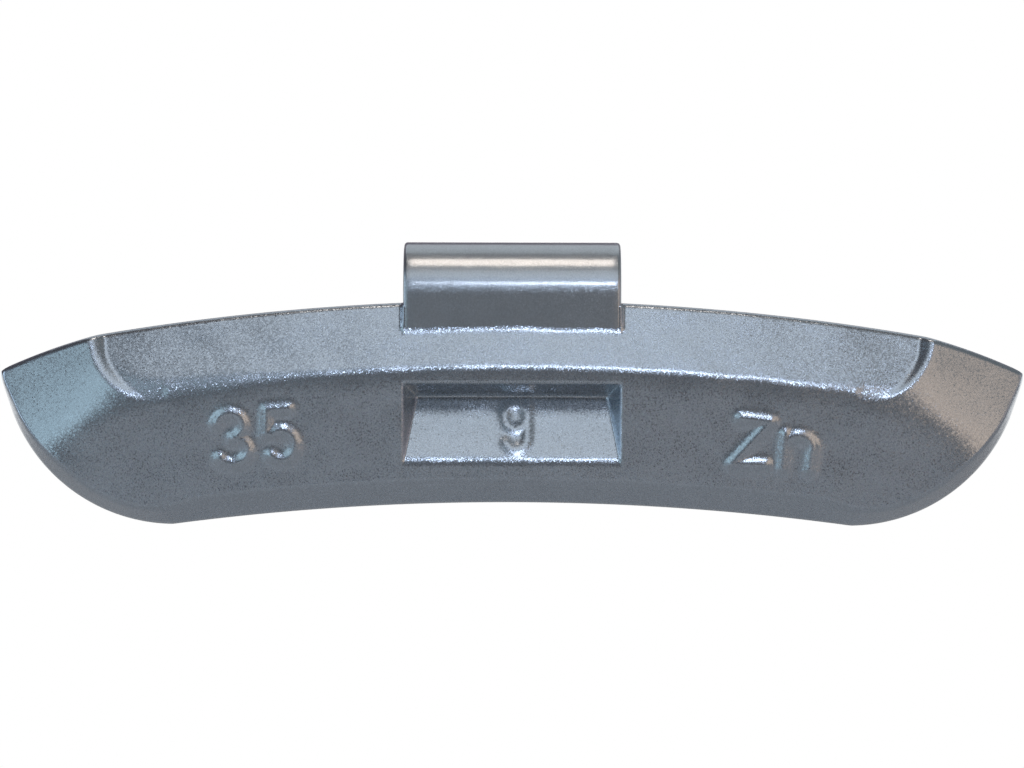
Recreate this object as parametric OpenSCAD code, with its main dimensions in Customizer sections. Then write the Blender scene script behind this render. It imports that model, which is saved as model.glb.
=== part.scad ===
// Clip-on wheel balance weight: a zinc die casting with a spring steel clip cast into its top.
//
// Origin: middle of the clip's bend, on the axis of the bend, which lies in the plane of the rear face.
// X runs along the rim, -Y points away from the wheel, +Z points from the hub towards the flange edge.
// All sizes are in millimetres and degrees.

/* [Outline of the body] */
// Length from tip to tip
body_length = 76; // [66:0.5:86]
// Height at the middle
body_height = 15; // [14:0.1:17]
// Radius of the top edge
top_radius = 182; // [150:1:240]
// Radius of the bottom edge
bottom_radius = 190; // [150:1:240]
// Distance from each tip at which the top edge turns down
crown_run = 7.4; // [6:0.1:9]
// Crease where it turns down
crown_crease = 5; // [2:0.5:8]
// Radius of the turned-down stretch
crown_radius = 45; // [35:1:80]
// Height of the lower end of each tip above the bottom edge
tip_height = 9.1; // [7.5:0.1:9.6]
// Lean of the end edges, from upright
end_lean = 19; // [15:0.5:25]
// Radius of the lower corners
corner_radius = 12.9; // [10:0.1:14.5]
// Crease where a lower corner meets the bottom edge
corner_crease = 8; // [5:1:11]
// Crease where a lower corner meets the end edge
end_edge_crease = 3; // [2:1:6]

/* [Thickness of the body] */
// Thickness at the ridge
ridge_thickness = 5.2; // [4.8:0.1:6.5]
// Draft of the front face below the ridge
face_draft = 3; // [1:0.5:5]
// Depth of the upright side wall
side_wall = 2.7; // [2:0.1:3]
// Slope of the chamfer along the bottom edge, from the front face
chamfer_slope = 52; // [48:1:55]
// Slope of the chamfer round the lower corners
corner_slope = 60; // [59:1:63]
// Slope of the chamfer along the end edges
end_slope = 57; // [54:1:58]
// Radius over which each end bends back
end_bend_radius = 60; // [45:1:80]
// Crease where each end starts to bend back
end_crease = 14; // [10:1:16]
// Distance of the crease from each tip, at the height of the ridge
end_crease_run = 10.4; // [8:0.1:12]
// Turn of the crease, from upright
end_crease_turn = 47; // [40:1:55]

/* [Scooped bevel] */
// Height of the ridge at the middle
ridge_height = 10; // [9.5:0.1:11]
// Radius of the ridge
ridge_radius = 192; // [150:1:240]
// Slope of the bevel, from upright
bevel_slope = 21; // [15:1:25]
// Length of the bevel between its end walls, at the height of the ridge
bevel_length = 60.3; // [50:0.1:64]
// Lean of the end walls, from upright
bevel_end_lean = 15; // [8:1:25]
// Radius of the lower corners of the bevel
bevel_corner_radius = 4.4; // [3:0.1:6]
// Draft of the end walls
bevel_end_draft = 20; // [10:1:30]

/* [Number pocket] */
// Width of the pocket at the front face
pocket_width = 16.1; // [10:0.1:22]
// Height of the pocket at the front face
pocket_height = 5.9; // [4:0.1:6.5]
// Distance of the pocket below the ridge
pocket_drop = 1.15; // [0.8:0.05:1.8]
// Slope of the pocket's floor, from upright
pocket_slope = 24; // [15:1:26]
// Draft of the pocket's walls
pocket_draft = 21; // [15:1:30]

/* [Spring clip] */
// Width of the strip
clip_width = 16.2; // [12:0.1:20]
// Thickness of the strip
clip_thickness = 1.1; // [0.9:0.05:1.2]
// Radius of the bend, outside
bend_radius = 4.1; // [3.7:0.1:4.4]
// Height of the bend's axis above the top edge of the body
bend_rise = 0.3; // [0.1:0.1:1]
// Angle past a half turn that closes the mouth
tail_close = 8; // [4:1:10]
// Length of the straight part of the tail
tail_length = 2.2; // [1.5:0.1:3]
// Inner radius of the flare at the tail's tip
flare_radius = 1.5; // [1:0.1:2.5]
// Angle of the flare
flare_angle = 35; // [20:1:50]
// Depth of the tongue below the top edge of the body
tongue_depth = 5.4; // [5:0.1:5.6]
// Radius of the locking holes in the tongue
lock_radius = 1.1; // [0.8:0.1:1.2]
// Distance between the two locking holes
lock_spacing = 8; // [5:0.1:10]
// Depth of the locking holes' centres below the top edge of the body
lock_depth = 3.7; // [3.6:0.1:3.8]

/* [Hidden] */
$fn = 360;

// Cutting tools run this far past what they cut.
over = 1;
// Length of a tool that has to pass right through the body.
through = 60;
// Room in front of the ridge that the blank has to fill.
blank_depth = ridge_thickness + 2 * over;

// Angle of the pocket's floor from the front face.
pocket_floor = pocket_slope + face_draft;

zinc = [0.62, 0.66, 0.70];
coated_steel = [0.52, 0.56, 0.60];

// Directions of a leaning line on the right-hand side: across it, pointing out, and along it, pointing up.
function outward(lean) = [cos(lean), -sin(lean)];
function upward(lean) = [sin(lean), cos(lean)];

// Middle of a corner of radius r between a leaning line through a point, on its outside, and an arc below it whose
// highest point is at arc_top. It meets the line and the arc at the two creases.
function corner_centre(point, lean, line_crease, r, arc_radius, arc_top, arc_crease) =
    let (inset = outward(lean) * point - r * cos(line_crease))
    let (foot = inset * outward(lean) + [0, arc_radius - arc_top])
    let (climb = foot * upward(lean))
    let (reach_squared = arc_radius * arc_radius + r * r + 2 * arc_radius * r * cos(arc_crease))
    inset * outward(lean) + upward(lean) * (sqrt(climb * climb - foot * foot + reach_squared) - climb);

function half_angle(centre, arc_radius, arc_top) = atan2(centre.x, centre.y + arc_radius - arc_top);

body_corner = corner_centre([body_length / 2, tip_height], end_lean, end_edge_crease, corner_radius,
    bottom_radius, 0, corner_crease);
bevel_corner = corner_centre([bevel_length / 2, ridge_height], bevel_end_lean, 0, bevel_corner_radius,
    ridge_radius, ridge_height, 0);
crown_start = body_length / 2 - crown_run;
crown_angle = asin(crown_start / top_radius);

module both_sides() {
    children();
    mirror([1, 0, 0]) children();
}

// The body is drawn lying on its rear face: X along it, Y towards its top edge, Z out of its front.
module stand_up() {
    translate([0, 0, -(body_height + bend_rise)]) rotate([90, 0, 0]) children();
}

// Puts a shape on the sloping front face, with the ridge at Y = 0 and the face at Z = 0.
module on_front_face() {
    translate([0, ridge_height, ridge_thickness]) rotate([face_draft, 0, 0]) children();
}

// A sector about a point on the Y axis, at least as long as the arc radius.
module sector(arc_radius, arc_top, angle) {
    far = arc_radius + through;
    translate([0, arc_top - arc_radius])
        polygon([[0, 0], far * [sin(angle), cos(angle)], far * [-sin(angle), cos(angle)]]);
}

// Revolves a profile about the axis of an arc.
module along_arc(arc_radius, arc_top, angle) {
    translate([0, arc_top - arc_radius, 0])
        rotate([0, 0, 90 - angle])
            rotate_extrude(angle = 2 * angle) children();
}

// Draws a profile along a leaning end, from a corner's middle upwards.
module along_end(centre, lean) {
    translate([centre.x, centre.y, 0])
        rotate([0, 0, -lean])
            translate([0, through, 0]) rotate([90, 0, 0]) linear_extrude(through) children();
}

// Section of what the rim leaves outside it: an upright wall at X = 0, then the chamfer. The body lies at negative X.
module outside_rim(slope) {
    chamfer = (blank_depth + over - side_wall) / tan(slope);
    polygon([[0, -over], [0, side_wall], [-chamfer, blank_depth + over], [through, blank_depth + over],
        [through, -over]]);
}

// Outside of the bottom edge, of one lower corner and of one end edge.
module bottom_cut() {
    along_arc(bottom_radius, 0, 2 * half_angle(body_corner, bottom_radius, 0))
        translate([bottom_radius, 0]) mirror([1, 0]) outside_rim(chamfer_slope);
}

module corner_cut() {
    towards_arc = -90 - half_angle(body_corner, bottom_radius, 0);
    translate([body_corner.x, body_corner.y, 0])
        rotate([0, 0, towards_arc])
            rotate_extrude(angle = -end_lean - towards_arc)
                translate([corner_radius, 0]) outside_rim(corner_slope);
}

module end_edge_cut() {
    translate([body_length / 2, tip_height, 0])
        rotate([0, 0, -end_lean])
            rotate([90, 0, 0]) linear_extrude(through, center = true) outside_rim(end_slope);
}

// Everything below the top edge: a long arc that turns down more tightly at each end.
module crown() {
    top_centre = [0, body_height - top_radius];
    crease = top_centre + top_radius * [sin(crown_angle), cos(crown_angle)];
    turn = crown_angle + crown_crease;
    difference() {
        translate(top_centre) circle(top_radius);
        both_sides()
            difference() {
                translate([crown_start - over, 0]) square(body_height + crown_run);
                translate(crease - crown_radius * [sin(turn), cos(turn)]) circle(crown_radius);
            }
    }
}

module front_cut() {
    on_front_face() translate([-body_length, -through, 0]) cube([2 * body_length, 2 * through, through]);
}

// Takes off what lies outside a large cylinder that crosses the front face along a slanting crease.
module end_bend_cut() {
    on_front_face()
        translate([body_length / 2 - end_crease_run, 0, 0])
            rotate([0, 0, end_crease_turn])
                difference() {
                    translate([-over, -through / 2, -end_bend_radius / 2])
                        cube([end_bend_radius / 2 + over, through, end_bend_radius]);
                    translate([-end_bend_radius * sin(end_crease), 0, -end_bend_radius * cos(end_crease)])
                        rotate([90, 0, 0])
                            cylinder(h = 2 * through, r = end_bend_radius, center = true);
                }
}

// The scoop is a conical floor that starts at the ridge, held between two drafted end walls.
module scoop() {
    run = body_height - ridge_height + 3 * over;
    lead = 4 * over;
    slope = tan(bevel_slope);
    angle = half_angle(bevel_corner, ridge_radius, ridge_height);
    low = ridge_thickness - run * slope - over;
    high = ridge_thickness + lead * slope;
    inset = (ridge_thickness - low) * tan(bevel_end_draft);
    outset = (high - ridge_thickness) * tan(bevel_end_draft);
    intersection() {
        along_arc(ridge_radius, ridge_height, 2 * angle)
            polygon([[ridge_radius - lead, high], [ridge_radius + run, ridge_thickness - run * slope],
                [ridge_radius + run, high]]);
        union() {
            translate([0, 0, low]) linear_extrude(high - low) sector(ridge_radius, ridge_height, angle);
            both_sides() {
                translate([bevel_corner.x, bevel_corner.y, low])
                    cylinder(h = high - low, r1 = bevel_corner_radius - inset, r2 = bevel_corner_radius + outset);
                along_end(bevel_corner, bevel_end_lean)
                    polygon([[-bevel_length / 2, low], [bevel_corner_radius - inset, low],
                        [bevel_corner_radius + outset, high], [-bevel_length / 2, high]]);
            }
        }
    }
}

// Wedge pocket: no depth at its lower edge, deepest at the foot of its top wall.
module pocket() {
    half = pocket_width / 2;
    wall = tan(pocket_draft);
    foot = pocket_height / wall / (tan(pocket_floor) + 1 / wall);
    depth = foot * tan(pocket_floor);
    on_front_face()
        translate([0, -pocket_drop - pocket_height, 0])
            intersection() {
                translate([-pocket_width, 0, 0]) rotate([90, 0, 90]) linear_extrude(2 * pocket_width)
                    polygon([[-over / tan(pocket_floor), over], [foot, -depth], [pocket_height + over * wall, over]]);
                translate([0, 2 * pocket_height, 0]) rotate([90, 0, 0]) linear_extrude(3 * pocket_height)
                    polygon([[-half - over * wall, over], [-half + 2 * depth * wall, -2 * depth],
                        [half - 2 * depth * wall, -2 * depth], [half + over * wall, over]]);
            }
}

// Flat part of the clip, from the bend down to the end of the tongue, with its locking holes.
module tongue_plate() {
    difference() {
        translate([-clip_width / 2, -bend_radius, -bend_rise - tongue_depth])
            cube([clip_width, clip_thickness, tongue_depth + bend_rise]);
        both_sides()
            translate([lock_spacing / 2, 0, -bend_rise - lock_depth])
                rotate([90, 0, 0]) cylinder(h = bend_radius + over, r = lock_radius);
    }
}

// Part of a ring between two angles that are less than a half turn apart.
module ring_sector(outer, inner, from, to) {
    far = 4 * outer;
    middle = (from + to) / 2;
    intersection() {
        difference() {
            circle(outer);
            circle(inner);
        }
        polygon([[0, 0], far * [cos(from), sin(from)], far * [cos(middle), sin(middle)], far * [cos(to), sin(to)]]);
    }
}

// Side view of the bend and the tail: Y across, Z up.
module hook_profile() {
    inner = bend_radius - clip_thickness;
    ring_sector(bend_radius, inner, 60, 180);
    ring_sector(bend_radius, inner, -tail_close, 60);
    rotate(-tail_close) {
        translate([inner, -tail_length]) square([clip_thickness, tail_length]);
        translate([bend_radius + flare_radius, -tail_length])
            ring_sector(flare_radius + clip_thickness, flare_radius, 180, 180 + flare_angle);
    }
}

module balance_body() {
    color(zinc)
        difference() {
            stand_up()
                difference() {
                    intersection() {
                        linear_extrude(blank_depth) crown();
                        translate([-body_length / 2, -body_height, 0])
                            cube([body_length, 3 * body_height, blank_depth]);
                    }
                    front_cut();
                    bottom_cut();
                    both_sides() {
                        corner_cut();
                        end_edge_cut();
                        end_bend_cut();
                    }
                    scoop();
                    pocket();
                }
            tongue_plate();
        }
}

module rim_clip() {
    color(coated_steel) {
        tongue_plate();
        translate([-clip_width / 2, 0, 0])
            rotate([90, 0, 90]) linear_extrude(clip_width) hook_profile();
    }
}

balance_body();
rim_clip();
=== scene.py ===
"""Looks of a clip-on wheel balance weight: a coated zinc casting with a spring steel clip.

Shapes are worked out in millimetres in the plan of the front face. There x runs along the part, up runs from
the bottom edge at the middle towards the top edge, and depth runs out of the rear face. They become metres in
the frame.
"""

import math

import bpy
import numpy as np
from mathutils import Matrix, Vector


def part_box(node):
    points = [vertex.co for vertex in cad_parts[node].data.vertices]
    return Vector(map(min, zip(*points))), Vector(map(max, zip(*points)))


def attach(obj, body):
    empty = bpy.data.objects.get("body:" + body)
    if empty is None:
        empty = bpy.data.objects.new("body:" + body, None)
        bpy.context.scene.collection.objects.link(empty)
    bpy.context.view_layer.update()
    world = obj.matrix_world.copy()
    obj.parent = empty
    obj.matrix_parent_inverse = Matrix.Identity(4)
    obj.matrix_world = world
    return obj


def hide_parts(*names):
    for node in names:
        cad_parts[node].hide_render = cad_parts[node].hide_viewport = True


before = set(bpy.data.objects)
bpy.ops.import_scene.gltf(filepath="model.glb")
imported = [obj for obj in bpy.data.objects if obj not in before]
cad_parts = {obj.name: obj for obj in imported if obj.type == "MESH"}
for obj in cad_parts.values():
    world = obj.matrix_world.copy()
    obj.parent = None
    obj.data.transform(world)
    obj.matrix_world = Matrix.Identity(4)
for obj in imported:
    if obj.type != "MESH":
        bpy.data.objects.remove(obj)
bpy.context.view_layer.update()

MM = 0.001

# Sizes that the frame gives.
body_low, body_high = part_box("balance_body")
clip_low, clip_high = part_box("rim_clip")
HALF_LENGTH = body_high.x / MM
RIDGE_DEPTH = -body_low.y / MM
BEND_RISE = -body_high.z / MM
BEND_RADIUS = clip_high.z / MM
CLIP_HALF_WIDTH = clip_high.x / MM

# Outline of the body.
BODY_HEIGHT = 15.0
TOP_RADIUS = 182.0
BOTTOM_RADIUS = 190.0
CROWN_RUN = 7.4
CROWN_CREASE = math.radians(5)
CROWN_RADIUS = 45.0
CROWN_OVERLAP = 2.0
CROWN_SOFTNESS = 0.05
TIP_HEIGHT = 9.1
END_LEAN = math.radians(19)
CORNER_RADIUS = 12.9
CORNER_CREASE = math.radians(8)
END_EDGE_CREASE = math.radians(3)

# Front of the body. The chamfer turns steeper over two stretches, measured from the middle.
SIDE_WALL = 2.7
CHAMFER_SLOPE = math.radians(52)
CORNER_SLOPE = math.radians(65)
END_SLOPE = math.radians(70)
CORNER_STRETCH = (22.0, 30.0)
END_STRETCH = (32.5, 36.5)
RIDGE_HEIGHT = 10.0
RIDGE_RADIUS = 192.0
BEVEL_SLOPE = math.radians(21)
BEVEL_LENGTH = 60.3
BEVEL_END_LEAN = math.radians(15)
BEVEL_CORNER_RADIUS = 4.4
FACE_DRAFT = math.radians(4)
END_BEND_RADIUS = 150.0
END_CREASE = math.radians(17)
END_CREASE_RUN = 10.4
END_CREASE_TURN = math.radians(47)

# Wedge pocket.
POCKET_HALF_WIDTH = 8.05
POCKET_HEIGHT = 5.75
POCKET_DROP = 1.15
POCKET_SLOPE = math.radians(24)
POCKET_DRAFT = math.radians(21)

# Clip.
CLIP_THICKNESS = 1.1
CLIP_OUTER_EDGE_RADIUS = 0.28
CLIP_INNER_EDGE_RADIUS = 0.25
CLIP_FLAT_MARGIN = 0.3
TONGUE_DEPTH = 5.4
TAIL_CLOSE = math.radians(8)
TAIL_LENGTH = 2.2
FLARE_RADIUS = 1.5
FLARE_ANGLE = math.radians(35)
# Rings that close the tail's tip: how far on each one lies, and its share of the thickness.
CLIP_TIP_RINGS = [(0.06, 0.94), (0.1, 0.8), (0.12, 0.5)]

# Bevel's lip and end walls. The walls start a little outside the bevel's outline.
LIP_WIDTH = 1.1
WALL_REACH = 0.4
WALL_SLOPE = math.radians(38)

# Softness of the coated edges. The ridge gets softer over one stretch on each side of the middle.
TOP_EDGE_RADIUS = 0.35
SIDE_EDGE_RADIUS = 0.2
REAR_EDGE_RADIUS = 0.25
TIP_RADIUS = 0.9
TIP_DROP = 0.2
LIP_SOFTNESS = 0.25
END_CREASE_SOFTNESS = 0.75
RIDGE_SOFTNESS = 0.14
LEFT_RIDGE_SOFTNESS = 0.26
RIGHT_RIDGE_SOFTNESS = 0.06
LEFT_STRETCH = (12.0, 27.0)
RIGHT_STRETCH = (18.0, 28.0)
WALL_SOFTNESS = 0.14
WALL_SOFT_REACH = 0.9
WALL_FOOT_SOFTNESS = 0.12
POCKET_EDGE_SOFTNESS = 0.22
POCKET_TOP_SOFTNESS = 0.2
POCKET_SIDE_SOFTNESS = 0.3
CHAMFER_SOFTNESS = 0.4

# Coating drawn up against the clip, from a little above the ridge.
SEAT_START = 1.0
SEAT_GAP = 0.015
SEAT_SOFTNESS = 0.17
SEAT_FILLET = 0.3

# Slight waves of the casting: the length and the direction of each, and where it starts. Their height is a
# share of their length.
WAVE_STEEPNESS = 0.0012
WAVES = [(5.3, 0.4, 1.0), (4.1, 1.5, 2.2), (6.7, 2.5, 0.3), (2.9, 0.9, 4.0), (3.4, 2.0, 5.1)]

# Mesh of the front. Columns are pairs of a place from the middle and the spacing up to it, close at marks, at
# the walls of hollows and at the tips. Rows are places from either edge, in millimetres at the middle column,
# and a number of rows between them.
COLUMN_SPACING = [
    (2.7, 0.09), (6.9, 0.24), (8.8, 0.08), (14.6, 0.28), (23.6, 0.09), (27.4, 0.24), (31.4, 0.085),
    (36.6, 0.2), (HALF_LENGTH - TOP_EDGE_RADIUS, 0.09), (HALF_LENGTH - 0.08, 0.06), (HALF_LENGTH, 0.03),
]
EDGE_ROWS = [0, 0.015, 0.05, 0.11, 0.19, 0.28, 0.38]
MIDDLE_ROWS = 118
# Rings behind the front: shares of the side wall's depth, then degrees round the rear edge.
WALL_RINGS = [0.8, 0.55, 0.3]
REAR_EDGE_TURNS = [0, 22.5, 45, 67.5, 90]

# Camera, in metres: how far in front of the clip, the width that it shows there, and its height.
CAMERA_DISTANCE = 0.36
PICTURE_WIDTH = 0.07585
CAMERA_HEIGHT = -0.00651
CAMERA_ROLL = math.radians(-0.15)

# Finish. Scales are in cells or blotches per metre, and the peel's depth is in metres.
METALLIC = 0.98
COAT_ROUGHNESS = 0.14
FLAKE_SCALE = 11500.0
FLAKE_TILT = 0.08
FLAKE_SHADE = 0.16
MOTTLE_SCALE = 420.0
MOTTLE_SHADE = 0.16
DARKEST_SHADE = 0.84
PEEL_SCALE = 900.0
PEEL_STRENGTH = 0.13
PEEL_DEPTH = 0.00004
# Each coat: colour, sparkle, roughness, its change from flake to flake, and the index of the clear layer.
BODY_COAT = ((0.398, 0.455, 0.515), 0.1, 0.27, 0.06, 1.5)
CLIP_COAT = ((0.375, 0.428, 0.475), 0.08, 0.33, 0.02, 1.8)

# Paper sweep, in metres. It is level under the part, bends up into a low wall, and fades to plain white.
SWEEP_HALF_WIDTH = 2.2
SWEEP_DROP = 0.05
SWEEP_FRONT = -2.4
SWEEP_LEVEL = 0.2
SWEEP_WALL = 0.9
SWEEP_BEND = 0.15
SWEEP_TOP = 0.22
FADE_START = 0.1
FADE_END = 0.38

# Light. Each lamp: name, azimuth, elevation, half width and half height in degrees, watts, colour.
LAMP_DISTANCE = 0.7
LAMPS = [
    ("overhead", 0, 77, 4, 8.5, 0.36, (1.0, 0.86, 0.75)),
    ("front_high", 4, 28, 4, 2.5, 0.345, (0.75, 0.83, 1.0)),
    ("front_wide", 0, 48, 13, 9, 0.245, (0.9, 0.95, 1.0)),
    ("left", -70, 15, 15, 20, 0.94, (0.68, 0.84, 1.0)),
    ("right", 70, 15, 15, 20, 0.25, (1.0, 0.6, 0.55)),
    ("left_near", -28, 14, 10, 17, 0.36, (0.67, 0.88, 0.97)),
    ("right_near", 28, 14, 10, 17, 0.305, (1.0, 0.7, 0.5)),
    ("back_high", 0, 123, 25, 20, 0.62, (0.92, 0.99, 1.0)),
]
ROOM = (0.086, 0.08, 0.085)
ROOM_BEHIND = (0.06, 0.035, 0.065)
ROOM_RIGHT = (0.24, 0.28, 0.275)


def smooth_min(a, b, soft):
    """The lower of two surfaces, with a rounded meeting."""
    mix = np.clip(0.5 + 0.5 * (b - a) / soft, 0, 1)
    return b * (1 - mix) + a * mix - soft * mix * (1 - mix)


def smooth_max(a, b, soft):
    return -smooth_min(-a, -b, soft)


def ramp(value, soft):
    """Zero for low values and the value itself for high ones, with a soft start."""
    return soft * np.logaddexp(0, value / soft)


def smooth_step(low, high, value):
    share = np.clip((value - low) / (high - low), 0, 1)
    return share * share * (3 - 2 * share)


def corner_centre(point, lean, line_crease, radius, arc_radius, arc_top, arc_crease):
    """Middle of a corner that meets a leaning line and an arc at two given creases."""
    out = np.array([math.cos(lean), -math.sin(lean)])
    rise = np.array([math.sin(lean), math.cos(lean)])
    inset = out @ np.array(point) - radius * math.cos(line_crease)
    foot = inset * out + np.array([0, arc_radius - arc_top])
    climb = foot @ rise
    reach = arc_radius**2 + radius**2 + 2 * arc_radius * radius * math.cos(arc_crease)
    return inset * out + rise * (math.sqrt(climb**2 - foot @ foot + reach) - climb)


BODY_CORNER = corner_centre(
    (HALF_LENGTH, TIP_HEIGHT), END_LEAN, END_EDGE_CREASE, CORNER_RADIUS, BOTTOM_RADIUS, 0, CORNER_CREASE
)
BEVEL_CORNER = corner_centre(
    (BEVEL_LENGTH / 2, RIDGE_HEIGHT), BEVEL_END_LEAN, 0, BEVEL_CORNER_RADIUS, RIDGE_RADIUS, RIDGE_HEIGHT, 0
)
CROWN_START = HALF_LENGTH - CROWN_RUN
CROWN_ANGLE = math.asin(CROWN_START / TOP_RADIUS)
CROWN_TURN = CROWN_ANGLE + CROWN_CREASE
CROWN_CENTRE = np.array([
    TOP_RADIUS * math.sin(CROWN_ANGLE) - CROWN_RADIUS * math.sin(CROWN_TURN),
    BODY_HEIGHT - TOP_RADIUS + TOP_RADIUS * math.cos(CROWN_ANGLE) - CROWN_RADIUS * math.cos(CROWN_TURN),
])


def half_angle(centre, arc_radius, arc_top):
    return math.atan2(centre[0], centre[1] + arc_radius - arc_top)


def in_corner(x, up, centre, arc_radius, arc_top, lean):
    """Is a point in the wedge that a corner's round stretch fills? x is never negative here."""
    low = -math.pi / 2 - half_angle(centre, arc_radius, arc_top)
    turn = np.arctan2(up - centre[1], x - centre[0])
    return (turn >= low) & (turn <= -lean)


def top_edge(x):
    x = np.abs(x)
    long_arc = BODY_HEIGHT - TOP_RADIUS + np.sqrt(TOP_RADIUS**2 - x**2)
    end_arc = CROWN_CENTRE[1] + np.sqrt(CROWN_RADIUS**2 - (x - CROWN_CENTRE[0]) ** 2)
    met = smooth_min(long_arc, end_arc, CROWN_SOFTNESS)
    edge = np.where(x < CROWN_START - CROWN_OVERLAP, long_arc, met)
    return edge - TIP_DROP * roll_off(HALF_LENGTH - x, TIP_RADIUS)


def bottom_edge(x):
    x = np.abs(x)
    arc = -BOTTOM_RADIUS + np.sqrt(BOTTOM_RADIUS**2 - x**2)
    across = np.clip(x - BODY_CORNER[0], -CORNER_RADIUS, CORNER_RADIUS)
    corner = BODY_CORNER[1] - np.sqrt(CORNER_RADIUS**2 - across**2)
    end = TIP_HEIGHT + (x - HALF_LENGTH) / math.tan(END_LEAN)
    first = BODY_CORNER[0] - CORNER_RADIUS * math.sin(half_angle(BODY_CORNER, BOTTOM_RADIUS, 0))
    last = BODY_CORNER[0] + CORNER_RADIUS * math.cos(END_LEAN)
    low = np.where(x < first, arc, np.maximum(arc, corner))
    return np.where(x > last, end, np.maximum(low, end))


def distance_to_bottom(x, up):
    """Distance from the bottom edge, the lower corners and the end edges."""
    x = np.abs(x)
    arc = np.hypot(x, up + BOTTOM_RADIUS) - BOTTOM_RADIUS
    end = math.cos(END_LEAN) * (HALF_LENGTH - x) - math.sin(END_LEAN) * (TIP_HEIGHT - up)
    corner = CORNER_RADIUS - np.hypot(x - BODY_CORNER[0], up - BODY_CORNER[1])
    corner = np.where(in_corner(x, up, BODY_CORNER, BOTTOM_RADIUS, 0, END_LEAN), corner, np.inf)
    return np.maximum(np.minimum(np.minimum(arc, end), corner), 0)


def distance_to_top(x, up):
    x = np.abs(x)
    long_arc = TOP_RADIUS - np.hypot(x, up - BODY_HEIGHT + TOP_RADIUS)
    end_arc = CROWN_RADIUS - np.hypot(x - CROWN_CENTRE[0], up - CROWN_CENTRE[1])
    end_arc = np.where(x < CROWN_START - CROWN_OVERLAP, np.inf, end_arc)
    return np.maximum(np.minimum(long_arc, end_arc), 0)


def roll_off(distance, radius):
    """Depth lost towards an edge that is rounded to a radius."""
    short = np.clip(radius - distance, 0, radius)
    return radius - np.sqrt(radius**2 - short**2)


def face_depth(x, up):
    """Front face without its hollows: a level lip round the bevel, a drafted face and bent ends."""
    below = RIDGE_RADIUS - np.hypot(x, up - RIDGE_HEIGHT + RIDGE_RADIUS)
    depth = RIDGE_DEPTH - math.tan(FACE_DRAFT) * ramp(below - LIP_WIDTH, LIP_SOFTNESS)
    beyond = (np.abs(x) - HALF_LENGTH + END_CREASE_RUN) * math.cos(END_CREASE_TURN)
    beyond = ramp(beyond + (up - RIDGE_HEIGHT) * math.sin(END_CREASE_TURN), END_CREASE_SOFTNESS)
    start = END_BEND_RADIUS * math.sin(END_CREASE)
    level = END_BEND_RADIUS * math.cos(END_CREASE)
    return depth - level + np.sqrt(END_BEND_RADIUS**2 - (beyond + start) ** 2)


def bevel_wall_distance(x, up):
    """Distance inwards from the bevel's end walls and lower corners."""
    x = np.abs(x)
    beside = BEVEL_LENGTH / 2 - x
    across = math.cos(BEVEL_END_LEAN) * beside - math.sin(BEVEL_END_LEAN) * (RIDGE_HEIGHT - up)
    corner = BEVEL_CORNER_RADIUS - np.hypot(x - BEVEL_CORNER[0], up - BEVEL_CORNER[1])
    round_stretch = in_corner(x, up, BEVEL_CORNER, RIDGE_RADIUS, RIDGE_HEIGHT, BEVEL_END_LEAN)
    return np.where(round_stretch, corner, across)


def bevel_depth(x, up):
    above = np.hypot(x, up - RIDGE_HEIGHT + RIDGE_RADIUS) - RIDGE_RADIUS
    return RIDGE_DEPTH - math.tan(BEVEL_SLOPE) * above


def with_bevel(x, up, face):
    """The face with its bevel. The edge is softer at the end walls and towards the ends, most on the left."""
    inside = bevel_wall_distance(x, up)
    wall = face - (inside + WALL_REACH) * math.tan(WALL_SLOPE)
    hollow = smooth_max(bevel_depth(x, up), wall, WALL_FOOT_SOFTNESS)
    soft = RIDGE_SOFTNESS + LEFT_RIDGE_SOFTNESS * smooth_step(*LEFT_STRETCH, -x)
    soft = soft + RIGHT_RIDGE_SOFTNESS * smooth_step(*RIGHT_STRETCH, x)
    soft = soft + WALL_SOFTNESS * np.exp(-((inside / WALL_SOFT_REACH) ** 2))
    return smooth_min(face, hollow, soft)


def with_pocket(x, up, depth, face):
    """The front with its wedge pocket, which gets deeper towards the ridge."""
    high = RIDGE_HEIGHT - POCKET_DROP
    low = high - POCKET_HEIGHT
    floor = face_depth(0.0, low) - math.tan(POCKET_SLOPE) * (up - low)
    floor = smooth_max(floor, face - (high - up) / math.tan(POCKET_DRAFT), POCKET_TOP_SOFTNESS)
    side = face - (POCKET_HALF_WIDTH - np.abs(x)) / math.tan(POCKET_DRAFT)
    return smooth_min(depth, smooth_max(floor, side, POCKET_SIDE_SOFTNESS), POCKET_EDGE_SOFTNESS)


def arc_points(x, y, across, tall, first, last, steps=14):
    """Points along part of an ellipse, with the angles in degrees."""
    turns = np.radians(np.linspace(first, last, steps))
    return [(x + across * math.cos(turn), y + tall * math.sin(turn)) for turn in turns]


# Raised marks: strokes in millimetres about each mark's own middle.
THREE = [
    arc_points(-0.12, 0.69, 1.0, 0.93, 160, -80) + arc_points(-0.1, -1.17, 1.15, 0.93, 80, -152),
]
FIVE = [[(0.75, 1.68), (-0.8, 1.68), (-1.05, -0.05)] + arc_points(0.0, -0.99, 1.05, 1.11, 125, -140)]
ZED = [[(-1.1, 1.7), (1.08, 1.65), (-1.48, -1.72), (1.0, -1.55)]]
EN = [
    [(-1.52, 1.25), (-1.47, -1.3)],
    [(-1.5, 0.5)] + arc_points(-0.45, 0.35, 1.05, 0.9, 150, 0) + [(0.55, -1.2)],
]
GEE = [
    arc_points(0, 0.65, 0.85, 0.9, 0, 360, 24),
    [(0.85, 1.5), (0.85, -0.85)] + arc_points(0, -0.9, 0.85, 0.85, 0, -150),
]
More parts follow.
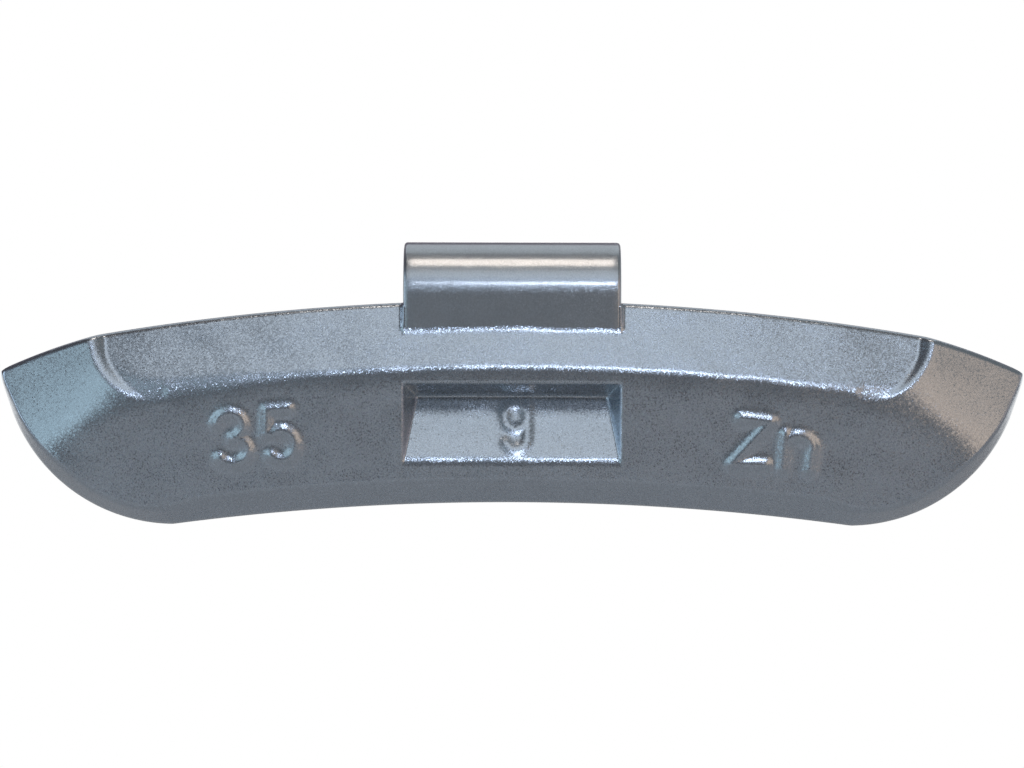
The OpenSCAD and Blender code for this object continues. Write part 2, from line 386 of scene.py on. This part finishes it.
# Each mark with its place, x and up of its middle, and the share of the full rise.
MARKS = [
    (THREE, -20.65, 4.95, 1.0),
    (FIVE, -17.15, 5.2, 1.0),
    (GEE, 0.3, 5.75, 0.6),
    (ZED, 17.9, 4.5, 1.0),
    (EN, 21.6, 3.7, 1.0),
]
MARK_RISE = 0.175
MARK_REACH = 0.44
# Half the width and height of the field that a mark fills with its slopes.
MARK_HALF_WIDTH = 3.0
MARK_HALF_HEIGHT = 3.4


def segment_distance(x, up, first, last):
    run = np.array(last) - np.array(first)
    along = ((x - first[0]) * run[0] + (up - first[1]) * run[1]) / (run @ run)
    along = np.clip(along, 0, 1)
    return np.hypot(x - first[0] - along * run[0], up - first[1] - along * run[1])


def marks_rise(x, up):
    """Height that the marks add. Each mark is turned with the arc of the bottom edge."""
    rise = np.zeros_like(x)
    for strokes, mark_x, mark_up, share in MARKS:
        near = (np.abs(x - mark_x) < MARK_HALF_WIDTH) & (np.abs(up - mark_up) < MARK_HALF_HEIGHT)
        turn = math.asin(mark_x / BOTTOM_RADIUS)
        dx = x[near] - mark_x
        dy = up[near] - mark_up
        local_x = dx * math.cos(turn) - dy * math.sin(turn)
        local_y = dx * math.sin(turn) + dy * math.cos(turn)
        distance = np.full(local_x.shape, np.inf)
        for stroke in strokes:
            for first, last in zip(stroke, stroke[1:]):
                distance = np.minimum(distance, segment_distance(local_x, local_y, first, last))
        rise[near] = np.maximum(rise[near], share * MARK_RISE * np.exp(-((distance / MARK_REACH) ** 2)))
    return rise


def with_clip_seat(x, up, depth):
    """Coating drawn up against the clip: a soft run-out below it and a small fillet at each side."""
    flush = BEND_RADIUS - SEAT_GAP
    aside = np.abs(x) - CLIP_HALF_WIDTH
    under = smooth_max(depth, flush, SEAT_SOFTNESS)
    climb = roll_off(np.clip(aside, 0, None), SEAT_FILLET)
    beside = depth + np.minimum(climb, np.maximum(flush - depth, 0))
    seat = np.where(aside < 0, under, beside)
    return np.where(up > RIDGE_HEIGHT + SEAT_START, seat, depth)


def waves(x, up):
    """Slight unevenness of the casting."""
    wave = np.zeros_like(x)
    for length, turn, start in WAVES:
        along = x * math.cos(turn) + up * math.sin(turn)
        wave = wave + length * np.sin(2 * math.pi * along / length + start)
    return WAVE_STEEPNESS * wave


def front_depth(x, up):
    """Depth of the whole front over the rear face. The chamfer turns steeper at the corners and the ends."""
    face = face_depth(x, up)
    depth = with_bevel(x, up, face)
    depth = with_pocket(x, up, depth, face)
    depth = depth + marks_rise(x, up)
    depth = depth + waves(x, up)
    depth = with_clip_seat(x, up, depth)
    from_bottom = distance_to_bottom(x, up)
    to_corner = smooth_step(*CORNER_STRETCH, np.abs(x))
    to_end = smooth_step(*END_STRETCH, np.abs(x))
    slope = math.tan(CHAMFER_SLOPE) + (math.tan(CORNER_SLOPE) - math.tan(CHAMFER_SLOPE)) * to_corner
    slope = slope + (math.tan(END_SLOPE) - math.tan(CORNER_SLOPE)) * to_end
    depth = smooth_min(depth, SIDE_WALL + from_bottom * slope, CHAMFER_SOFTNESS)
    depth = depth - roll_off(distance_to_top(x, up), TOP_EDGE_RADIUS)
    depth = depth - roll_off(np.maximum(HALF_LENGTH - np.abs(x), 0), TOP_EDGE_RADIUS)
    return depth - roll_off(from_bottom, SIDE_EDGE_RADIUS)


def spaced(stretches):
    """Places from 0 on, with the spacing that each stretch asks for: pairs of an end and a spacing."""
    places = [0.0]
    start = 0.0
    for end, spacing in stretches:
        count = max(1, round((end - start) / spacing))
        places += list(start + (end - start) * np.arange(1, count + 1) / count)
        start = end
    return np.array(places)


def mesh_object(name, vertices, faces, material, flat_faces=()):
    mesh = bpy.data.meshes.new(name)
    mesh.from_pydata(vertices, [], faces)
    smooth = np.ones(len(faces), bool)
    smooth[list(flat_faces)] = False
    mesh.polygons.foreach_set("use_smooth", smooth)
    mesh.materials.append(material)
    mesh.update()
    made = bpy.data.objects.new(name, mesh)
    bpy.context.scene.collection.objects.link(made)
    return made


def plan_to_frame(x, up, depth):
    """Millimetres in the plan of the front face to metres in the frame."""
    return np.stack([x, -depth, up - BODY_HEIGHT - BEND_RISE], axis=-1) * MM


def make_body(material):
    """One closed skin: a fine front, side walls with soft edges, and a flat rear face."""
    half = spaced(COLUMN_SPACING)
    xs = np.concatenate([-half[:0:-1], half])
    near = np.array(EDGE_ROWS) / BODY_HEIGHT
    middle = np.linspace(near[-1], 1 - near[-1], MIDDLE_ROWS)
    share = np.concatenate([near[:-1], middle, 1 - near[-2::-1]])
    low, high = bottom_edge(xs), top_edge(xs)
    x = np.repeat(xs[:, None], len(share), axis=1)
    up = low[:, None] + (high - low)[:, None] * share[None, :]
    depth = front_depth(x, up)
    columns, rows = x.shape
    vertices = list(plan_to_frame(x, up, depth).reshape(-1, 3))
    index = np.arange(columns * rows).reshape(columns, rows)
    quads = np.stack([index[:-1, :-1], index[1:, :-1], index[1:, 1:], index[:-1, 1:]], axis=-1)
    faces = [tuple(quad) for quad in quads.reshape(-1, 4)]
    # The loop round the front: along the bottom, up one end, back along the top and down the other end.
    loop = np.concatenate([index[:-1, 0], index[-1, :-1], index[:0:-1, -1], index[0, :0:-1]])
    loop_x, loop_up, loop_depth = x.ravel()[loop], up.ravel()[loop], depth.ravel()[loop]
    along_x = np.roll(loop_x, -1) - np.roll(loop_x, 1)
    along_up = np.roll(loop_up, -1) - np.roll(loop_up, 1)
    along = np.stack([along_x, along_up], axis=-1)
    along /= np.linalg.norm(along, axis=1)[:, None]
    inward = np.stack([-along[:, 1], along[:, 0]], axis=-1)
    count = len(loop)
    # Rings down the side walls and round the rear edge: the depth of each, and how far it is inset.
    rings = [(REAR_EDGE_RADIUS + (loop_depth - REAR_EDGE_RADIUS) * part, 0.0) for part in WALL_RINGS]
    for turn in np.radians(REAR_EDGE_TURNS):
        edge_depth = np.full(count, REAR_EDGE_RADIUS * (1 - math.sin(turn)))
        rings.append((edge_depth, REAR_EDGE_RADIUS * (1 - math.cos(turn))))
    previous = list(loop)
    for ring_depth, inset in rings:
        start = len(vertices)
        ring_x = loop_x + inward[:, 0] * inset
        ring_up = loop_up + inward[:, 1] * inset
        vertices += list(plan_to_frame(ring_x, ring_up, ring_depth))
        current = list(range(start, start + count))
        for i in range(count):
            j = (i + 1) % count
            faces.append((previous[j], previous[i], current[i], current[j]))
        previous = current
    # The flat rear: a quad behind each column, and one wider face behind each tip.
    first_rear = len(faces)
    across = columns - 1
    bottom = previous[:columns]
    top = [previous[(2 * across + rows - 1 - i) % count] for i in range(columns)]
    for i in range(1, across - 1):
        faces.append((bottom[i], top[i], top[i + 1], bottom[i + 1]))
    faces.append((bottom[across - 1], top[across - 1], *previous[across + rows - 1:across - 1:-1]))
    faces.append((bottom[1], bottom[0], *previous[:2 * across + rows - 2:-1], top[1]))
    return mesh_object("body_skin", vertices, faces, material, range(first_rear, len(faces)))


def clip_path():
    """Middle of the strip in side view, from the tongue's end to the tail's tip.

    Each point is y, z and the outward normal.
    """
    tongue_steps, bend_steps, tail_steps, flare_steps = 24, 56, 8, 10
    mean = BEND_RADIUS - CLIP_THICKNESS / 2
    tongue = np.linspace(-BEND_RISE - TONGUE_DEPTH, 0, tongue_steps, endpoint=False)
    points = [(-mean, z, -1.0, 0.0) for z in tongue]
    for turn in np.linspace(math.pi, -TAIL_CLOSE, bend_steps):
        points.append((mean * math.cos(turn), mean * math.sin(turn), math.cos(turn), math.sin(turn)))
    out = np.array([math.cos(TAIL_CLOSE), -math.sin(TAIL_CLOSE)])
    down = np.array([-math.sin(TAIL_CLOSE), -math.cos(TAIL_CLOSE)])
    for run in np.linspace(0, TAIL_LENGTH, tail_steps)[1:]:
        place = mean * out + run * down
        points.append((*place, *out))
    middle = (BEND_RADIUS + FLARE_RADIUS) * out + TAIL_LENGTH * down
    for turn in np.linspace(0, FLARE_ANGLE, flare_steps)[1:]:
        away = -math.cos(turn) * out + math.sin(turn) * down
        points.append((*(middle + (FLARE_RADIUS + CLIP_THICKNESS / 2) * away), *(-away)))
    return points


def clip_section():
    """Section of the strip: x across it and its height over the middle, with soft corners, larger outside."""
    corner_steps, flat_steps = 7, 34
    half_thick = CLIP_THICKNESS / 2
    section = []
    first_turn = 0
    for side, face in [(1, 1), (-1, 1), (-1, -1), (1, -1)]:
        radius = CLIP_OUTER_EDGE_RADIUS if face > 0 else CLIP_INNER_EDGE_RADIUS
        centre = (side * (CLIP_HALF_WIDTH - radius), face * (half_thick - radius))
        for turn in np.radians(np.linspace(first_turn, first_turn + 90, corner_steps)):
            section.append((centre[0] + radius * math.cos(turn), centre[1] + radius * math.sin(turn)))
        first_turn += 90
        if face == side:
            for x in np.linspace(side, -side, flat_steps)[1:-1] * (CLIP_HALF_WIDTH - CLIP_FLAT_MARGIN):
                section.append((x, face * half_thick))
    return section


def make_clip(material):
    """The strip swept along its path. Smaller rings close the tail's tip."""
    path = clip_path()
    section = clip_section()
    rings = [(*place, 1.0) for place in path]
    tip_y, tip_z, out_y, out_z = path[-1]
    run_y, run_z = out_z, -out_y
    for forward, size in CLIP_TIP_RINGS:
        ahead = forward - CLIP_TIP_RINGS[-1][0]
        rings.append((tip_y + run_y * ahead, tip_z + run_z * ahead, out_y, out_z, size))
    vertices = []
    for y, z, out_y, out_z, size in rings:
        for x, over in section:
            shrink = (1 - size) * CLIP_THICKNESS / 2
            side = math.copysign(max(abs(x) - shrink, 0), x)
            vertices.append((side * MM, (y + out_y * over * size) * MM, (z + out_z * over * size) * MM))
    count = len(section)
    faces = [tuple(range(count))]
    for ring in range(len(rings) - 1):
        start = ring * count
        for i in range(count):
            j = (i + 1) % count
            faces.append((start + i, start + count + i, start + count + j, start + j))
    faces.append(tuple((len(rings) - 1) * count + i for i in range(count - 1, -1, -1)))
    return mesh_object("clip_skin", vertices, faces, material, [0])


class Nodes:
    """Short way to add shader nodes and join them."""

    def __init__(self, tree):
        self.tree = tree

    def add(self, kind, values=None, **settings):
        node = self.tree.nodes.new(kind)
        for name, value in settings.items():
            setattr(node, name, value)
        for socket, value in (values or {}).items():
            if isinstance(value, bpy.types.NodeSocket):
                self.tree.links.new(value, node.inputs[socket])
            else:
                node.inputs[socket].default_value = value
        return node

    def math(self, operation, first, second):
        return self.add("ShaderNodeMath", {0: first, 1: second}, operation=operation).outputs[0]

    def vector(self, operation, values):
        return self.add("ShaderNodeVectorMath", values, operation=operation).outputs[0]


def coating(name, base, sparkle, roughness, blur_change, coat_index):
    """Silver-grey metallic powder coat: flakes that catch the light, slight mottling and orange peel.

    Sparkle is the extra tilt of the brightest flakes, which are less rough than the dullest by blur_change.
    """
    material = bpy.data.materials.new(name)
    material.use_nodes = True
    tree = material.node_tree
    tree.nodes.clear()
    nodes = Nodes(tree)
    place = nodes.add("ShaderNodeTexCoord").outputs["Object"]
    flakes = nodes.add("ShaderNodeTexVoronoi", {"Vector": place, "Scale": FLAKE_SCALE, "Randomness": 1.0})
    flakes = flakes.outputs["Color"]
    grain = nodes.add("ShaderNodeSeparateXYZ", {0: flakes}).outputs["Z"]
    reach = nodes.math("MULTIPLY", nodes.math("POWER", grain, 3.0), sparkle)
    reach = nodes.math("ADD", reach, FLAKE_TILT)
    tilt = nodes.vector("SUBTRACT", {0: flakes, 1: (0.5, 0.5, 0.5)})
    tilt = nodes.vector("SCALE", {0: tilt, "Scale": reach})
    peel = {"Vector": place, "Scale": PEEL_SCALE, "Detail": 2.0, "Roughness": 0.5}
    peel = nodes.add("ShaderNodeTexNoise", peel).outputs["Fac"]
    bump = nodes.add("ShaderNodeBump", {"Height": peel, "Strength": PEEL_STRENGTH, "Distance": PEEL_DEPTH})
    bump = bump.outputs["Normal"]
    normal = nodes.vector("NORMALIZE", {0: nodes.vector("ADD", {0: bump, 1: tilt})})
    mottle = {"Vector": place, "Scale": MOTTLE_SCALE, "Detail": 3.0, "Roughness": 0.6}
    mottle = nodes.add("ShaderNodeTexNoise", mottle).outputs["Fac"]
    shade = nodes.math("ADD", nodes.math("MULTIPLY", mottle, MOTTLE_SHADE), DARKEST_SHADE)
    shade = nodes.math("ADD", nodes.math("MULTIPLY", grain, FLAKE_SHADE), shade)
    blur = nodes.math("SUBTRACT", roughness + blur_change / 2, nodes.math("MULTIPLY", grain, blur_change))
    surface = nodes.add("ShaderNodeBsdfPrincipled", {
        "Base Color": nodes.vector("SCALE", {0: base, "Scale": shade}),
        "Metallic": METALLIC,
        "Roughness": blur,
        "Normal": normal,
        "Coat Weight": 1.0,
        "Coat IOR": coat_index,
        "Coat Roughness": COAT_ROUGHNESS,
        "Coat Normal": bump,
    })
    out = nodes.add("ShaderNodeOutputMaterial")
    tree.links.new(surface.outputs[0], out.inputs["Surface"])
    return material


def stage_material():
    """Pale floor that takes shadows near the part and is plain white paper behind it, in reflections too."""
    material = bpy.data.materials.new("studio_paper")
    material.use_nodes = True
    tree = material.node_tree
    tree.nodes.clear()
    nodes = Nodes(tree)
    paper = nodes.add("ShaderNodeBsdfDiffuse", {"Color": (0.8, 0.8, 0.8, 1)}).outputs[0]
    white = nodes.add("ShaderNodeEmission", {"Color": (1, 1, 1, 1), "Strength": 1.0}).outputs[0]
    path = nodes.add("ShaderNodeLightPath")
    seen = nodes.math("MAXIMUM", path.outputs["Is Camera Ray"], path.outputs["Is Glossy Ray"])
    seen = nodes.math("MAXIMUM", seen, path.outputs["Is Transmission Ray"])
    place = nodes.add("ShaderNodeNewGeometry").outputs["Position"]
    behind = nodes.add("ShaderNodeSeparateXYZ", {0: place}).outputs["Y"]
    fade = {0: behind, 1: FADE_START, 2: FADE_END}
    fade = nodes.add("ShaderNodeMapRange", fade, interpolation_type="SMOOTHSTEP").outputs[0]
    mix = nodes.add("ShaderNodeMixShader", {0: nodes.math("MULTIPLY", seen, fade), 1: paper, 2: white})
    out = nodes.add("ShaderNodeOutputMaterial")
    tree.links.new(mix.outputs[0], out.inputs["Surface"])
    return material


def make_stage():
    """A paper sweep: floor under the part, curving up into a low wall behind it."""
    floor = body_low.z - SWEEP_DROP
    bend_start = SWEEP_WALL - SWEEP_BEND
    side = [(SWEEP_FRONT, floor), (-SWEEP_LEVEL, floor), (SWEEP_LEVEL, floor), (bend_start, floor)]
    for turn in np.radians(np.linspace(10, 90, 9)):
        side.append((bend_start + SWEEP_BEND * math.sin(turn), floor + SWEEP_BEND * (1 - math.cos(turn))))
    side.append((SWEEP_WALL, SWEEP_TOP))
    vertices = [(x, y, z) for y, z in side for x in (-SWEEP_HALF_WIDTH, SWEEP_HALF_WIDTH)]
    faces = [(2 * i, 2 * i + 1, 2 * i + 3, 2 * i + 2) for i in range(len(side) - 1)]
    mesh_object("studio_sweep", vertices, faces, stage_material())


def make_lamp(name, azimuth, elevation, half_wide, half_high, power, colour):
    """An area lamp aimed at the part, sized by the half angles that it fills.

    Azimuth 0 is in front, on the camera's side, and 90 is to the right.
    """
    lamp = bpy.data.lights.new(name, "AREA")
    lamp.shape = "RECTANGLE"
    lamp.size = 2 * LAMP_DISTANCE * math.tan(math.radians(half_wide))
    lamp.size_y = 2 * LAMP_DISTANCE * math.tan(math.radians(half_high))
    lamp.energy = power
    lamp.color = colour
    holder = bpy.data.objects.new(name, lamp)
    turn, rise = math.radians(azimuth), math.radians(elevation)
    away = Vector((math.sin(turn) * math.cos(rise), -math.cos(turn) * math.cos(rise), math.sin(rise)))
    holder.location = away * LAMP_DISTANCE
    # The lamp's wide side stays level.
    level = Vector((math.cos(turn), math.sin(turn), 0))
    upward = away.cross(level)
    holder.rotation_mode = "QUATERNION"
    holder.rotation_quaternion = Matrix((level, upward, away)).transposed().to_quaternion()
    bpy.context.scene.collection.objects.link(holder)


def make_world():
    """A dim room, brighter behind the part and to its right."""
    world = bpy.data.worlds.new("studio")
    bpy.context.scene.world = world
    world.use_nodes = True
    tree = world.node_tree
    tree.nodes.clear()
    nodes = Nodes(tree)
    way = nodes.add("ShaderNodeSeparateXYZ", {0: nodes.add("ShaderNodeTexCoord").outputs["Generated"]})
    room = ROOM
    for tint, axis in [(ROOM_BEHIND, "Y"), (ROOM_RIGHT, "X")]:
        share = nodes.math("MAXIMUM", way.outputs[axis], 0)
        room = nodes.vector("ADD", {0: room, 1: nodes.vector("SCALE", {0: tint, "Scale": share})})
    light = nodes.add("ShaderNodeBackground", {"Color": room, "Strength": 1.0})
    out = nodes.add("ShaderNodeOutputWorld")
    tree.links.new(light.outputs[0], out.inputs["Surface"])


def make_camera():
    camera = bpy.data.cameras.new("camera")
    holder = bpy.data.objects.new("camera", camera)
    bpy.context.scene.collection.objects.link(holder)
    camera.sensor_width = 36.0
    camera.lens = camera.sensor_width * CAMERA_DISTANCE / PICTURE_WIDTH
    camera.clip_start = 0.01
    camera.clip_end = 10.0
    holder.location = (0, -CAMERA_DISTANCE - BEND_RADIUS * MM, CAMERA_HEIGHT)
    holder.rotation_euler = (math.pi / 2, CAMERA_ROLL, 0)
    bpy.context.scene.camera = holder


make_camera()
body_coat = coating("metallic_coat_body", *BODY_COAT)
clip_coat = coating("metallic_coat_clip", *CLIP_COAT)

body = make_body(body_coat)
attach(body, "root")
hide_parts("balance_body")

clip = make_clip(clip_coat)
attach(clip, "root")
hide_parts("rim_clip")

make_stage()
make_world()
for lamp in LAMPS:
    make_lamp(*lamp)
bpy.context.scene.view_settings.view_transform = "Standard"
